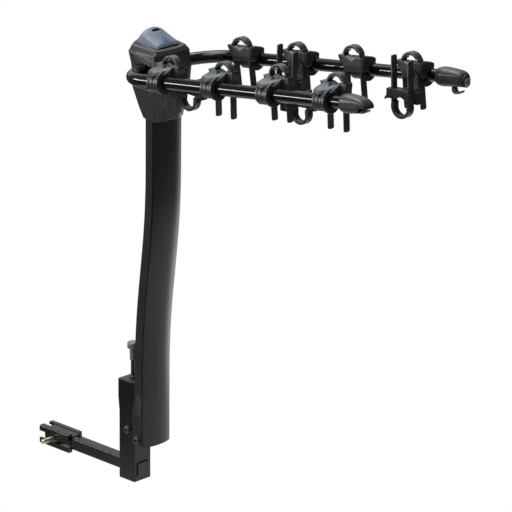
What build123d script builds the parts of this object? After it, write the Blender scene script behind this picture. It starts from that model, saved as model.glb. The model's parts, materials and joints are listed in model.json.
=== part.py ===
from build123d import *
import math
import os

os.makedirs("parts", exist_ok=True)

# Hitch mounted four bike rack, millimetres.
# Frame: origin where the hitch bolt crosses the middle of the tongue, +X away
# from the vehicle, +Z up, +Y to the rack's right hand side.

# ---- driving dimensions ----------------------------------------------------
# tongue and receiver adapter
TONGUE_HALF = 15.85
TONGUE_WALL = 3.2
TONGUE_X0, TONGUE_X1 = -35.0, 317.3
ADAPT_HALF = 25.3
ADAPT_BOX = 18.0
ADAPT_RAIL = 10.0
ADAPT_X0, ADAPT_X1, ADAPT_BOX_X0 = -49.5, 61.0, -36.5
HBOLT_R, HBOLT_HOLE = 6.35, 6.43
HBOLT_TIP = -63.0
# base upright
BASE_X0, BASE_X1 = 259.4, 317.3
BASE_HY = 29.7
BASE_Z0, BASE_Z1 = -31.3, 240.5
BASE_WALL = 3.0
BOLT_R = 6.0
B1_X, B1_Z = 292.3, 109.0
PIV_X, PIV_Z = 332.0, 92.0
# tilt lock
ROD_X, ROD_R = 280.8, 5.5
TONG_Z0, TONG_Z1 = 173.5, 179.5
# mast
CREASE_X = 366.8
MAST_HY = 48.0
MAST_T = 2.5
MAST_BOW = 12.0
S_ANG, S_R, S_Z0, S_STRAIGHT = 6.65, 1900.0, 273.0, 115.0
MAST_Z1 = 1050.0
# arm frame
AX, AZ = 387.0, 1095.0
TUBE_R, TUBE_WALL = 16.0, 2.0
BEND_R = 97.0
TILT, SPLAY = 7.15, 0.63
ARM_A = 159.9
ST1, PITCH = 156.8, 185.3
CAP_S = 57.8
TUBE_END = ST1 + 3 * PITCH + CAP_S + 46.0
LEVER_X, LEVER_Z, LEVER_R = 402.0, 1138.0, 3.0
# cradles
COLLAR_R, FLANGE_R = 23.5, 29.0
STRAP_R, STRAP_ZC, STRAP_T, LEG_X = 28.5, 33.0, 4.0, 25.3
STRAP_Y0, STRAP_Y1, STRAP_X = 26.0, 44.0, 3.5
LEG_BOTTOM = -77.0
SEAT_X, SEAT_Z, SHOULDER = 3.0, 28.0, 39.0
STRAP_LIFT_L = [0.0, -1.0, 6.0, 0.0]
STRAP_LIFT_R = [0.0, -1.0, 4.5, 0.5]
# lean of each strap along its arm, in degrees, legs towards the mast
LEAN_L = [9.0, 4.5, 1.5, 4.0]
LEAN_R = [-2.5, 0.0, 0.0, 0.0]
# lean of each hanging frame, in degrees
SWAY_LEAN = {("left", 0): 11.0, ("left", 2): 4.5, ("right", 1): 8.5, ("right", 3): 4.5}
SWAY_X, SWAY_Y, SWAY_ZC = 18.0, 90.0, -60.0
SWAY_PIV_X, SWAY_PIV_Z = 15.5, 14.0

NODES = {}


def keep(name, shape):
    solids = shape.solids()
    out = Compound(children=list(solids)) if len(solids) > 1 else solids[0]
    NODES[name] = out
    export_step(out, f"parts/{name}.step")


def boxx(x0, x1, y0, y1, z0, z1):
    return Pos((x0 + x1) / 2, (y0 + y1) / 2, (z0 + z1) / 2) * Box(
        abs(x1 - x0), abs(y1 - y0), abs(z1 - z0)
    )


def cyl_y(x, z, r, y0, y1):
    return Pos(x, (y0 + y1) / 2, z) * Rot(90, 0, 0) * Cylinder(r, abs(y1 - y0))


def cyl_x(y, z, r, x0, x1):
    return Pos((x0 + x1) / 2, y, z) * Rot(0, 90, 0) * Cylinder(r, abs(x1 - x0))


def cyl_z(x, y, r, z0, z1):
    return Pos(x, y, (z0 + z1) / 2) * Cylinder(r, abs(z1 - z0))


def prism_y(pts, y0, y1):
    """Polygon in X and Z, extruded from y0 to y1."""
    face = make_face(Polyline(*[(x, y0, z) for x, z in pts], close=True))
    return extrude(face, amount=(y1 - y0), dir=(0, 1, 0))


def prism_x(pts, x0, x1):
    """Polygon in Y and Z, extruded from x0 to x1."""
    face = make_face(Polyline(*[(x0, y, z) for y, z in pts], close=True))
    return extrude(face, amount=(x1 - x0), dir=(1, 0, 0))


def prism_z(pts, z0, z1):
    face = make_face(Polyline(*[(x, y, z0) for x, y in pts], close=True))
    return extrude(face, amount=(z1 - z0), dir=(0, 0, 1))


def tube_box_x(x0, x1, h, r):
    sk = Plane((x0, 0, 0), x_dir=(0, 1, 0), z_dir=(1, 0, 0)) * RectangleRounded(2 * h, 2 * h, r)
    return extrude(sk, amount=(x1 - x0), dir=(1, 0, 0))


# ---- tongue, adapter, hitch bolt ------------------------------------------
tongue = tube_box_x(TONGUE_X0, TONGUE_X1, TONGUE_HALF, 3.0) - tube_box_x(
    TONGUE_X0 - 1, TONGUE_X1 + 1, TONGUE_HALF - TONGUE_WALL, 1.5
)
tongue -= cyl_y(0, 0, HBOLT_HOLE, -40, 40)
keep("hitch_tongue", tongue)

sleeve = tube_box_x(ADAPT_BOX_X0, ADAPT_X1 + 1.0, ADAPT_BOX, 1.5)
shell = tube_box_x(ADAPT_X0, ADAPT_X1, ADAPT_HALF, 3.5)
for sx in (0, 1):
    lim = 60.0
    if sx == 0:
        shell -= boxx(ADAPT_X0 - 1, ADAPT_X1 + 1, -lim, lim, -ADAPT_RAIL, ADAPT_RAIL)
    else:
        shell -= boxx(ADAPT_X0 - 1, ADAPT_X1 + 1, -ADAPT_RAIL, ADAPT_RAIL, -lim, lim)
shell -= boxx(ADAPT_X0 - 1, ADAPT_BOX_X0, -ADAPT_BOX, ADAPT_BOX, -ADAPT_BOX, ADAPT_BOX)
adapter = sleeve + shell
adapter -= tube_box_x(ADAPT_X0 - 1, ADAPT_X1 + 2, TONGUE_HALF + 0.1, 2.9)
adapter -= cyl_y(0, 0, HBOLT_HOLE, -40, 40)
keep("hitch_adapter", adapter)

bolt = cyl_y(0, 0, HBOLT_R, HBOLT_TIP + 3, 36.0)
tip = Pos(0, HBOLT_TIP + 1.5, 0) * Rot(90, 0, 0) * Cone(HBOLT_R, 4.0, 3.0)
bolt = bolt + tip
hexh = extrude(
    Plane((0, 27.5, 0), x_dir=(1, 0, 0), z_dir=(0, 1, 0)) * RegularPolygon(10.6, 6), amount=9.0, dir=(0, 1, 0)
)
bolt = bolt + hexh + cyl_y(0, 0, 12.0, 25.6, 27.7)
bolt -= cyl_z(0, HBOLT_TIP + 9.0, 1.6, -20, 20)
# relief between the shank and the free end
bolt -= cyl_y(0, 0, 12.0, -27.0, -26.0) - cyl_y(0, 0, HBOLT_R - 0.5, -28, -25)
keep("hitch_bolt", bolt)

# ---- base upright ----------------------------------------------------------
bx, by = (BASE_X0 + BASE_X1) / 2, 0.0
bw = BASE_X1 - BASE_X0
outer = extrude(Pos(bx, 0, BASE_Z0) * RectangleRounded(bw, 2 * BASE_HY, 3.5), amount=BASE_Z1 - BASE_Z0)
# the tube's mouth is set out to the rear by a few millimetres
flare = prism_y([(BASE_X0 + 1, 150), (BASE_X0, 150), (BASE_X0 - 4.4, 190), (BASE_X0 - 4.4, BASE_Z1), (BASE_X0 + 1, BASE_Z1)], -BASE_HY + 2.2, BASE_HY - 2.2)
outer = outer + flare
inner = extrude(
    Pos(bx, 0, BASE_Z0 - 1) * RectangleRounded(bw - 2 * BASE_WALL, 2 * (BASE_HY - BASE_WALL), 1.5),
    amount=BASE_Z1 - BASE_Z0 + 2,
)
base = outer - inner
base -= tube_box_x(BASE_X0 - 10, BASE_X1 + 10, TONGUE_HALF + 0.02, 3.02)
base -= cyl_y(B1_X, B1_Z, BOLT_R + 0.05, -60, 60)
base -= boxx(BASE_X1 - 10, BASE_X1 + 10, -26.0, 26.0, 72.0, 132.0)
base -= boxx(BASE_X1 - 10, BASE_X1 + 10, -15.0, 15.0, 166.0, 218.0)
keep("base_upright", base)

CAP_H = (BASE_X1 - BASE_X0 - 2 * BASE_WALL - 0.4, 2 * (BASE_HY - BASE_WALL) - 0.4)
cap_plate = extrude(Pos(bx, 0, BASE_Z1 - 9) * RectangleRounded(CAP_H[0], CAP_H[1], 1.6), amount=9.8)
cap_plate = chamfer(cap_plate.edges().group_by(Axis.Z)[-1], 1.6)
cap_plate = cap_plate - extrude(Pos(bx, 0, BASE_Z1 - 10) * RectangleRounded(CAP_H[0] - 6, CAP_H[1] - 6, 1.4), amount=7.5)
cap_plate -= cyl_z(ROD_X, 0, 8.0, 200, 260)
keep("base_top_cap", cap_plate)

GB_TOP = BASE_Z1 + 0.82
bush = cyl_z(ROD_X, 0, 7.98, BASE_Z1 - 22, GB_TOP + 6.0) + cyl_z(ROD_X, 0, 10.5, GB_TOP, GB_TOP + 5.0)
bush += Pos(ROD_X, 0, GB_TOP + 6.5) * Cone(10.5, 7.4, 3.0)
bush -= cyl_z(ROD_X, 0, ROD_R + 0.06, 200, 260)
keep("lock_guide_bush", bush)

PLUG_H = 19.6
plug = extrude(
    Plane((BASE_X1 + 0.02, 0, 0), x_dir=(0, 1, 0), z_dir=(1, 0, 0)) * RectangleRounded(2 * PLUG_H, 2 * PLUG_H, 4.5),
    amount=4.2,
    dir=(1, 0, 0),
)
plug = fillet(plug.edges().group_by(Axis.X)[-1], 1.6)
plug += tube_box_x(BASE_X1 - 16, BASE_X1 + 0.5, 11.8, 2.2)
keep("tongue_end_plug", plug)

# pivot bracket: two cheeks and a web, held in the base tube by the base bolt
ch = []
for s in (-1, 1):
    y0, y1 = (20.0, 25.0) if s > 0 else (-25.0, -20.0)
    c = prism_y([(266, 78), (322, 78), (322, 130), (266, 130)], y0, y1) + prism_y(
        [(315, 78), (332, 80.5), (332, 103.5), (322, 128), (315, 128)], y0, y1
    )
    c += cyl_y(PIV_X, PIV_Z, 12.0, y0, y1)
    ch.append(c)
brk = ch[0] + ch[1] + boxx(266, 271, -20.5, 20.5, 78, 130)
brk -= cyl_y(B1_X, B1_Z, BOLT_R + 0.05, -60, 60)
brk -= cyl_y(PIV_X, PIV_Z, 8.0, -60, 60)
keep("pivot_bracket", brk)

pb = None
for s in (-1, 1):
    y0, y1 = (20.0, 30.8) if s > 0 else (-30.8, -20.0)
    f0, f1 = (25.02, 30.8) if s > 0 else (-30.8, -25.02)
    b = cyl_y(PIV_X, PIV_Z, 7.99, y0, y1) + cyl_y(PIV_X, PIV_Z, 11.0, f0, f1)
    b -= cyl_y(PIV_X, PIV_Z, BOLT_R + 0.05, -60, 60)
    pb = b if pb is None else Compound(children=[*pb.solids(), *b.solids()])
keep("pivot_bushes", pb)


def bolt_y(x, z, y_head, y_end, r):
    """Round headed bolt along Y: head at y_head (negative side), threaded end at y_end."""
    b = cyl_y(x, z, r, y_head, y_end)
    hd = cyl_y(x, z, r * 1.5, y_head - 6.0, y_head)
    hd = fillet(hd.edges().group_by(Axis.Y)[0], 2.6)
    b = b + hd
    sock = extrude(
        Plane((x, y_head - 6.5, z), x_dir=(1, 0, 0), z_dir=(0, 1, 0)) * RegularPolygon(r * 0.68, 6), amount=4.0, dir=(0, 1, 0)
    )
    return b - sock


def washer_y(x, z, r, y0, y1, ro):
    return cyl_y(x, z, ro, y0, y1) - cyl_y(x, z, r + 0.1, y0 - 1, y1 + 1)


def nut_y(x, z, r, y0, y1):
    n = extrude(
        Plane((x, y0, z), x_dir=(1, 0, 0), z_dir=(0, 1, 0)) * RegularPolygon(r * 1.8, 6), amount=y1 - y0, dir=(0, 1, 0)
    )
    return n - cyl_y(x, z, r + 0.02, y0 - 1, y1 + 1)


W = 2.4
keep("base_bolt", bolt_y(B1_X, B1_Z, -BASE_HY - W - 0.02, BASE_HY + 16, BOLT_R))
keep(
    "base_bolt_hardware",
    Compound(
        children=[
            *washer_y(B1_X, B1_Z, BOLT_R, -BASE_HY - W, -BASE_HY - 0.01, 12.0).solids(),
            *washer_y(B1_X, B1_Z, BOLT_R, BASE_HY + 0.01, BASE_HY + W, 12.0).solids(),
            *nut_y(B1_X, B1_Z, BOLT_R, BASE_HY + W + 0.02, BASE_HY + W + 10).solids(),
        ]
    ),
)

# ---- mast ------------------------------------------------------------------
EAR_Y = 33.5
EAR_X = -53.8


def mast_wire_pts(low, t):
    """Half section (y > 0), from the back corner to the crease, inset by t."""
    if low:
        pts = [(EAR_X, EAR_Y - t), (-22.0, EAR_Y - t)]
    else:
        pts = [(-42.0 + t, 36.0 - t), (-25.0, 41.0 - t)]
    pts += [
        (-9.0, 45.4 - 1.05 * t),
        (-6.6, 42.4 - t),
        (-2.6, 43.0 - t),
        (0.0 - 0.6 * t, MAST_HY - 1.15 * t),
    ]
    return pts


def mast_section(z, dx, low, t):
    p = mast_wire_pts(low, t)
    cx = CREASE_X + dx
    right = [(cx + a, b, z) for a, b in p]
    left = [(cx + a, -b, z) for a, b in reversed(p)]
    lines = Polyline(*right)
    arc = ThreePointArc(right[-1], (cx + MAST_BOW - t, 0, z), left[0])
    lines2 = Polyline(*left)
    close = Line(left[-1], right[0])
    return make_face([lines, arc, lines2, close])


th = math.radians(S_ANG)
z1 = S_Z0 + S_R * math.sin(th)
x1 = S_R * (1 - math.cos(th))
z2 = z1 + S_STRAIGHT
x2 = x1 + S_STRAIGHT * math.tan(th)
z3 = z2 + S_R * math.sin(th)
x3 = x2 + x1
Z_OPEN = 242.0


def s_path(za, zb):
    h = th / 2
    m1 = (S_R * (1 - math.cos(h)), 0, S_Z0 + S_R * math.sin(h))
    m2 = (x3 - S_R * (1 - math.cos(h)), 0, z3 - S_R * math.sin(h))
    sh = CREASE_X
    off = lambda p: (p[0] + sh, p[1], p[2])
    parts = [
        Line((sh, 0, za), (sh, 0, S_Z0)),
        ThreePointArc((sh, 0, S_Z0), off(m1), (x1 + sh, 0, z1)),
        Line((x1 + sh, 0, z1), (x2 + sh, 0, z2)),
        ThreePointArc((x2 + sh, 0, z2), off(m2), (x3 + sh, 0, z3)),
        Line((x3 + sh, 0, z3), (x3 + sh, 0, zb)),
    ]
    return Wire(parts)


MAST_TOP_DX = x3
up_out = sweep(mast_section(Z_OPEN, 0, False, 0), path=s_path(Z_OPEN, MAST_Z1))
up_in = sweep(mast_section(Z_OPEN, 0, False, MAST_T), path=s_path(Z_OPEN, MAST_Z1))
upper = up_out - up_in
LOW_A, LOW_B = 216.0, 158.0
lo_out = loft([mast_section(LOW_B, 0, True, 0), mast_section(LOW_A, 0, False, 0)], ruled=True)
lo_in = loft([mast_section(LOW_B, 0, True, MAST_T), mast_section(LOW_A, 0, False, MAST_T)], ruled=True)
st_out = extrude(mast_section(LOW_A, 0, False, 0), amount=Z_OPEN - LOW_A, dir=(0, 0, 1))
st_in = extrude(mast_section(LOW_A, 0, False, MAST_T), amount=Z_OPEN - LOW_A, dir=(0, 0, 1))
ft_out = extrude(mast_section(70.0, 0, True, 0), amount=LOW_B - 70.0, dir=(0, 0, 1))
ft_in = extrude(mast_section(70.0, 0, True, MAST_T), amount=LOW_B - 70.0, dir=(0, 0, 1))
lower = (lo_out + st_out + ft_out) - (lo_in + st_in + ft_in)
# the lower part is open to the rear, where it straddles the base tube
lower -= boxx(290, CREASE_X - 30, -31.0, 31.0, 60, Z_OPEN)
mast = upper + lower
mast -= prism_y([(290, 50), (290, 73.5), (322, 75.0), (400, 87.0), (400, 50)], -60, 60)
mast -= prism_y([(300, 60), (318, 60), (313.0, 84.0), (300, 84.0)], -60, 60)
mast -= cyl_y(PIV_X, PIV_Z, BOLT_R + 0.02, -60, 60)
HBX = 382.0
for hz in (1000.0, 1032.0):
    mast -= cyl_y(HBX, hz, 4.1, -60, 60)
keep("mast", mast)

keep("pivot_bolt", bolt_y(PIV_X, PIV_Z, -EAR_Y - W - 0.02, EAR_Y + 15, BOLT_R))
keep(
    "pivot_bolt_hardware",
    Compound(
        children=[
            *washer_y(PIV_X, PIV_Z, BOLT_R, -EAR_Y - W, -EAR_Y - 0.01, 12.0).solids(),
            *washer_y(PIV_X, PIV_Z, BOLT_R, EAR_Y + 0.01, EAR_Y + W, 12.0).solids(),
            *nut_y(PIV_X, PIV_Z, BOLT_R, EAR_Y + W + 0.02, EAR_Y + W + 10).solids(),
        ]
    ),
)

MBX = CREASE_X - 42.0
tong = boxx(MBX - 4.0, MBX - 0.02, -24, 24, TONG_Z0, 285.0) + boxx(266.0, MBX - 1.0, -12.0, 12.0, TONG_Z0, TONG_Z1)
tong -= boxx(250.0, ROD_X, -ROD_R - 0.35, ROD_R + 0.35, TONG_Z0 - 5, TONG_Z1 + 5)
tong -= cyl_z(ROD_X, 0, ROD_R + 0.35, TONG_Z0 - 5, TONG_Z1 + 5)
keep("mast_latch_tongue", tong)

# ---- tilt lock -------------------------------------------------------------
rod = cyl_z(ROD_X, 0, ROD_R, 166.5, 300.0) + cyl_z(ROD_X, 0, 8.5, 192.0, 195.0)
keep("lock_rod", rod)
knob = cyl_z(ROD_X, 0, 8.2, 291.0, 324.0)
head = cyl_z(ROD_X, 0, 14.6, 321.0, 340.5)
head = fillet(head.edges().group_by(Axis.Z)[-1], 6.0)
head = chamfer(head.edges().group_by(Axis.Z)[0], 3.0)
knob = knob + head
knob -= cyl_z(ROD_X, 0, ROD_R, 280.0, 300.0)
keep("lock_knob", knob)
SPR_Z0, SPR_Z1 = 195.2, BASE_Z1 - 16.2
SPR_Z1 = BASE_Z1 - 22.2
helix = Helix(pitch=(SPR_Z1 - SPR_Z0 - 1.8) / 5.0, height=SPR_Z1 - SPR_Z0 - 1.8, radius=7.2)
sp = sweep(Plane(helix @ 0, z_dir=helix % 0) * Circle(0.8), path=helix)
keep("lock_spring", Pos(ROD_X, 0, SPR_Z0 + 0.9) * sp)

# ---- head bracket ----------------------------------------------------------
hb = None
for s in (-1, 1):
    y0, y1 = (28.0, 32.0) if s > 0 else (-32.0, -28.0)
    e = boxx(367, 401.5, y0, y1, 985, 1075) + cyl_y(AX, AZ, 27.0, y0, y1)
    e += prism_y([(384, 1095), (408, 1095), (409.5, 1138), (394.5, 1138)], y0, y1) + cyl_y(LEVER_X, LEVER_Z, 7.5, y0, y1)
    hb = e if hb is None else hb + e
hb += boxx(397.5, 401.5, -28.5, 28.5, 985, 1052)
hb -= cyl_y(AX, AZ, 19.0, -60, 60)
hb -= cyl_y(LEVER_X, LEVER_Z, LEVER_R + 0.02, -60, 60)
for hz in (1000.0, 1032.0):
    hb -= cyl_y(HBX, hz, 4.05, -60, 60)
keep("head_bracket", hb)
hbb = []
for hz in (1000.0, 1032.0):
    b = cyl_y(HBX, hz, 4.0, -44.5, 44.5) + cyl_y(HBX, hz, 6.5, -48.0, -43.4) + cyl_y(HBX, hz, 6.5, 43.4, 48.0)
    hbb += b.solids()
keep("head_bracket_bolts", Compound(children=hbb))
ab = []
for s in (-1, 1):
    y0, y1 = (27.0, 34.0) if s > 0 else (-34.0, -27.0)
    f0, f1 = (32.02, 34.0) if s > 0 else (-34.0, -32.02)
    b = cyl_y(AX, AZ, 18.98, y0, y1) + cyl_y(AX, AZ, 22.0, f0, f1)
    b -= cyl_y(AX, AZ, TUBE_R + 0.05, -60, 60)
    ab += b.solids()
keep("arm_bushes", Compound(children=ab))
keep("lever_pin", cyl_y(LEVER_X, LEVER_Z, LEVER_R, -33.0, 33.0))

# ---- arm frame -------------------------------------------------------------
tl, sp_ = math.radians(TILT), math.radians(SPLAY)
U = Vector(math.cos(tl), 0, math.sin(tl))  # outward along the tilted plane
N = Vector(-math.sin(tl), 0, math.cos(tl))  # upward, square to the arms


def plane_pt(s, y):
    return (AX + s * U.X, y, AZ + s * U.Z)


def arm_y(s):
    """Distance of the arm's axis from the middle plane at s along the arm."""
    return ARM_A + (s - ST1) * math.tan(sp_)


pts = [
    plane_pt(TUBE_END, -arm_y(TUBE_END)),
    plane_pt(0, -arm_y(0)),
    plane_pt(0, arm_y(0)),
    plane_pt(TUBE_END, arm_y(TUBE_END)),
]
path = FilletPolyline(*pts, radius=BEND_R)
start = Plane(pts[0], z_dir=(path % 0))
tube = sweep(start * Circle(TUBE_R), path=path)
tube_in = sweep(start * Circle(TUBE_R - TUBE_WALL), path=path)
arm_tube = tube - tube_in
keep("arm_tube", arm_tube)
print("arm tube volume", round(arm_tube.volume), "expected", round(math.pi * (TUBE_R**2 - (TUBE_R - TUBE_WALL) ** 2) * path.length))

sector = cyl_y(AX, AZ, 25.5, -5, 5)
sector -= cyl_y(AX, AZ, TUBE_R + 0.01, -10, 10)
sector -= prism_y([(380.5, AZ + 22.0), (388.5, AZ + 22.0), (390.5, AZ + 30.0), (378.5, AZ + 30.0)], -10, 10)
keep("latch_sector", sector)

# ---- head casing -----------------------------------------------------------
SECTS = [
    # z, x back, y back, x front corner, y front, x apex
    (963.0, 359.0, 40.5, 409.0, 52.0, 421.0),
    (990.0, 352.0, 49.0, 413.5, 55.5, 424.0),
    (1045.0, 338.5, 60.5, 423.0, 64.5, 430.0),
    (1092.0, 334.5, 64.0, 426.0, 67.0, 431.5),
    (1136.0, 329.5, 66.0, 421.5, 63.5, 428.5),
    (1150.0, 331.5, 56.5, 412.5, 51.5, 419.5),
    (1164.0, 340.5, 45.5, 398.0, 40.0, 404.0),
]


def casing_face(sec, t, dz=0.0):
    z, xb, yb, xf, yf, xa = sec
    xb, yb, xf, yf, xa = xb + t, yb - t, xf - 0.8 * t, yf - t, xa - t
    p = [(xb, -yb), (xf, -yf), (xa, -yf * 0.42), (xa, yf * 0.42), (xf, yf), (xb, yb)]
    f = make_face(Polyline(*[(x, y, z + dz) for x, y in p], close=True))
    return fillet(f.vertices(), 5.0 if t == 0 else 2.0)


CT = 2.6
cas_out = loft([casing_face(s, 0) for s in SECTS], ruled=True)
inner_secs = [casing_face(SECTS[0], CT, -1.0)] + [casing_face(s, CT) for s in SECTS[1:]]
cas_in = loft(inner_secs, ruled=True)
TOPA, TOPB = (336.0, 1161.5), (432.0, 1143.5)
above = [(330, TOPA[1] + 1.1), (440, TOPB[1] - 1.5), (440, 1200), (330, 1200)]
cas_out -= prism_y(above, -90, 90)
drop = [(x, z - CT) for x, z in above[:2]] + [(440, 1200), (330, 1200)]
cas_in -= prism_y(drop, -90, 90)
casing = cas_out - cas_in
# side openings round the turning tube, and the opening under the lever
for s in (-1, 1):
    y0, y1 = (50.0, 80.0) if s > 0 else (-80.0, -50.0)
    casing -= prism_y([(342.5, 1086), (351, 1097), (366, 1106), (379, 1112), (398, 1110.5), (411, 1104.5), (417, 1097), (417, 1068), (405, 1056), (352, 1056), (342.5, 1064)], y0, y1)
casing -= boxx(360, 410, -26, 26, 1130, 1190)
# the casing lies on the mast's outline at the bottom
casing -= extrude(mast_section(950.0, MAST_TOP_DX, False, -0.35), amount=102, dir=(0, 0, 1))
rear = casing & boxx(300, AX - 0.1, -90, 90, 900, 1200)
front = casing & boxx(AX + 0.1, 480, -90, 90, 900, 1200)
# screw bosses join the halves
SCR = [(-46.0, 1126.0), (46.0, 1126.0), (-50.0, 1057.0), (50.0, 1057.0)]
for sy, sz in SCR:
    rear += cyl_x(sy, sz, 5.5, 325.0, AX - 0.1) & cas_out
    front += cyl_x(sy, sz, 5.5, AX + 0.1, 440.0) & cas_out
for sy, sz in SCR:
    rear -= cyl_x(sy, sz, 2.05, 338, AX)
    front -= cyl_x(sy, sz, 2.05, AX, 405)
    rear -= cyl_x(sy, sz, 4.0, 310, 352)
keep("head_casing_rear", rear)
keep("head_casing_front", front)
scr = []
for sy, sz in SCR:
    scr += (cyl_x(sy, sz, 2.0, 350.0, 403.0) + cyl_x(sy, sz, 3.8, 348.6, 351.9)).solids()
keep("casing_screws", Compound(children=scr))

# ---- release lever ---------------------------------------------------------
slope = (TOPB[1] - 1.5 - (TOPA[1] + 1.1)) / 110.0


def top_z(x):
    return TOPA[1] + 1.1 + slope * (x - 330.0)


def lever_sec(x, yb, zb, yt, zt, za, t):
    yb, yt, zt, za = yb - t, yt - t, zt - t, za - t
    low = Polyline((x, -yt, zt), (x, -yb, zb), (x, yb, zb), (x, yt, zt))
    return make_face([low, ThreePointArc((x, yt, zt), (x, 0, za), (x, -yt, zt))])


def lever_solid(t):
    d = 0.0 if t == 0 else -4.0
    rows = [
        (341.5 + t, 48.0, 34.0, 1168.0, 1177.5),
        (347.0 + 0.6 * t, 47.5, 37.5, 1174.6, 1186.5),
        (356.0, 47.0, 37.8, 1171.8, 1187.6),
        (404.8 - t, 40.5, 37.0, 1154.4, 1158.8),
        (409.5 - t, 40.0, 37.6, 1149.8, 1152.0),
    ]
    return loft([lever_sec(x, yb, top_z(x) + 0.5 + d, yt, zt, za, t) for x, yb, yt, zt, za in rows], ruled=True)


lev = lever_solid(0) - lever_solid(2.6)
# two lugs go down to the pin
for s in (-1, 1):
    y0, y1 = (8.0, 13.0) if s > 0 else (-13.0, -8.0)
    lug = prism_y([(384, 1176), (404, 1166), (408.5, 1138), (395.5, 1138), (384, 1148)], y0, y1) + cyl_y(LEVER_X, LEVER_Z, 6.8, y0, y1)
    lev += lug & (lever_solid(0) + prism_y([(370, 1100), (420, 1100), (420, 1151), (370, 1163)], -20, 20))
lev -= cyl_y(LEVER_X, LEVER_Z, LEVER_R + 0.05, -60, 60)
# the front rim clears the casing's roof as the lever lifts
for ang in (3.0, 6.0, 9.0, 12.0, 13.0):
    roof = [(x, top_z(x) + 0.45) for x in (396.0, 432.0)]
    block = prism_y([(396.0, 1120.0), roof[0], roof[1], (432.0, 1120.0)], 24.0, 60.0)
    block += prism_y([(396.0, 1120.0), roof[0], roof[1], (432.0, 1120.0)], -60.0, -24.0)
    block += prism_y([(409.6, 1120.0), (409.6, top_z(409.6) + 0.45), roof[1], (432.0, 1120.0)], -30.0, 30.0)
    lev -= Pos(LEVER_X, 0, LEVER_Z) * Rot(0, -ang, 0) * Pos(-LEVER_X, 0, -LEVER_Z) * block
# plain slot through the top face
slot = Pos(364.0, 0, 1182.5) * Rot(0, 30.5, 0) * extrude(SlotOverall(26, 7.5, rotation=90), amount=12, both=True)
lev -= slot
keep("release_lever", lev)

pawl = cyl_y(LEVER_X, LEVER_Z, 6.6, -5, 5) + prism_y(
    [(402, 1144.6), (384, 1135), (380.8, 1121.6), (387.6, 1121.6), (391, 1128), (402, 1131.4)], -5, 5
)
pawl += boxx(398, 406, -7.9, 7.9, 1137, 1141) - cyl_y(LEVER_X, LEVER_Z, 3.5, -9, 9)
pawl -= cyl_y(LEVER_X, LEVER_Z, LEVER_R + 0.05, -60, 60)
keep("latch_pawl", pawl)
h2 = Helix(pitch=2.3, height=9.2, radius=5.0)
sp2 = sweep(Plane(h2 @ 0, z_dir=h2 % 0) * Circle(0.7), path=h2)
keep("lever_spring", Pos(LEVER_X, 25.0, LEVER_Z) * Rot(90, 0, 0) * sp2)


# ---- things on the arms, made once in a local frame ------------------------
# local x along the arm, local y inwards, local z up; origin on the tube's axis
def place(shape, side, s):
    # side +1 is the right arm (+Y); inwards is -Y there
    if side > 0:
        shape = shape.mirror(Plane.XZ)
    x_dir = Vector(U.X * math.cos(sp_), (1 if side > 0 else -1) * math.sin(sp_), U.Z * math.cos(sp_))
    org = plane_pt(s, side * arm_y(s))
    pl = Plane(org, x_dir=x_dir, z_dir=N)
    return pl.location * shape


def cradle(flip):
    c = cyl_x(0, 0, COLLAR_R, -25.0, 16.0)
    for x0, x1 in ((-25.0, -17.5), (-13.0, -5.5), (-1.0, 6.0)):
        c += cyl_x(0, 0, COLLAR_R + 1.6, x0, x1)
    c += cyl_x(0, 0, FLANGE_R, 10.0, 17.5)
    # neck and saddle
    c += prism_x([(-4, 8), (-7, 22.5), (24, SHOULDER - 6), (26, SHOULDER - 6), (26, 4), (20, 0), (8, 0)], -17.4, 22.0)
    c += prism_y(
        [(-40, 41), (-30, 39.6), (-17, SHOULDER), (SEAT_X, SEAT_Z), (23, SHOULDER - 0.5), (36, 36), (43, 39), (43.5, 31), (39, 15), (38.5, 2), (-16, 1), (-26, 13), (-37, 32)],
        22.8,
        48.0,
    )
    # thumb ramp from the collar's outer side up to the saddle, one corner higher
    rows = [
        (-21.0, [(-19, 14), (-21, 27.5), (-15, 33.0), (0, 36.5), (25.6, 40.5), (25.6, 30), (10, 18)]),
        (-2.0, [(-23.5, 10), (-25.5, 19.5), (-18, 27.0), (0, 32.5), (25.6, 40.0), (25.6, 30), (10, 16)]),
        (24.0, [(5, 16), (8, 23), (14, 29.5), (19, 33.5), (25.6, 37.5), (25.6, 29), (12, 14)]),
    ]
    ramp = loft(
        [Plane((x, 0, 0), x_dir=(0, 1, 0), z_dir=(1, 0, 0)) * make_face(Polyline(*pts, close=True)) for x, pts in rows],
        ruled=True,
    )
    if flip:
        ramp = Pos(3.0, 0, 0) * ramp.mirror(Plane.YZ)
    # the carried tube passes over it in the line of the seat
    ramp -= prism_y([(SEAT_X, 33.0), (SEAT_X + 25, 48.0), (SEAT_X + 25, 70), (SEAT_X - 25, 70), (SEAT_X - 25, 48.0)], -40, 30)
    c += ramp
    # bore for the tube and slots for the strap's legs
    c -= cyl_x(0, 0, TUBE_R + 0.02, -60, 60)
    return c


slots = Compound(
    children=[boxx(s * LEG_X - 2.35, s * LEG_X + 2.35, STRAP_Y0 - 0.4, STRAP_Y1 + 0.4, -60, 80) for s in (-1, 1)]
)


def pad():
    k = (SHOULDER - 0.5 - SEAT_Z) / 20.0
    p = prism_y(
        [(SEAT_X - 20, SEAT_Z + 0.06 + 20 * k + 0.5), (SEAT_X - 20, SEAT_Z + 2.8 + 20 * k), (SEAT_X, SEAT_Z + 2.8), (SEAT_X + 20, SEAT_Z + 2.8 + 20 * k), (SEAT_X + 20, SEAT_Z + 0.56 + 20 * k), (SEAT_X, SEAT_Z + 0.06)],
        26.2,
        47.0,
    )
    p &= boxx(SEAT_X - 16.4, SEAT_X + 16.4, 0, 80, 0, SHOULDER - 0.6)
    return p


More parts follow.
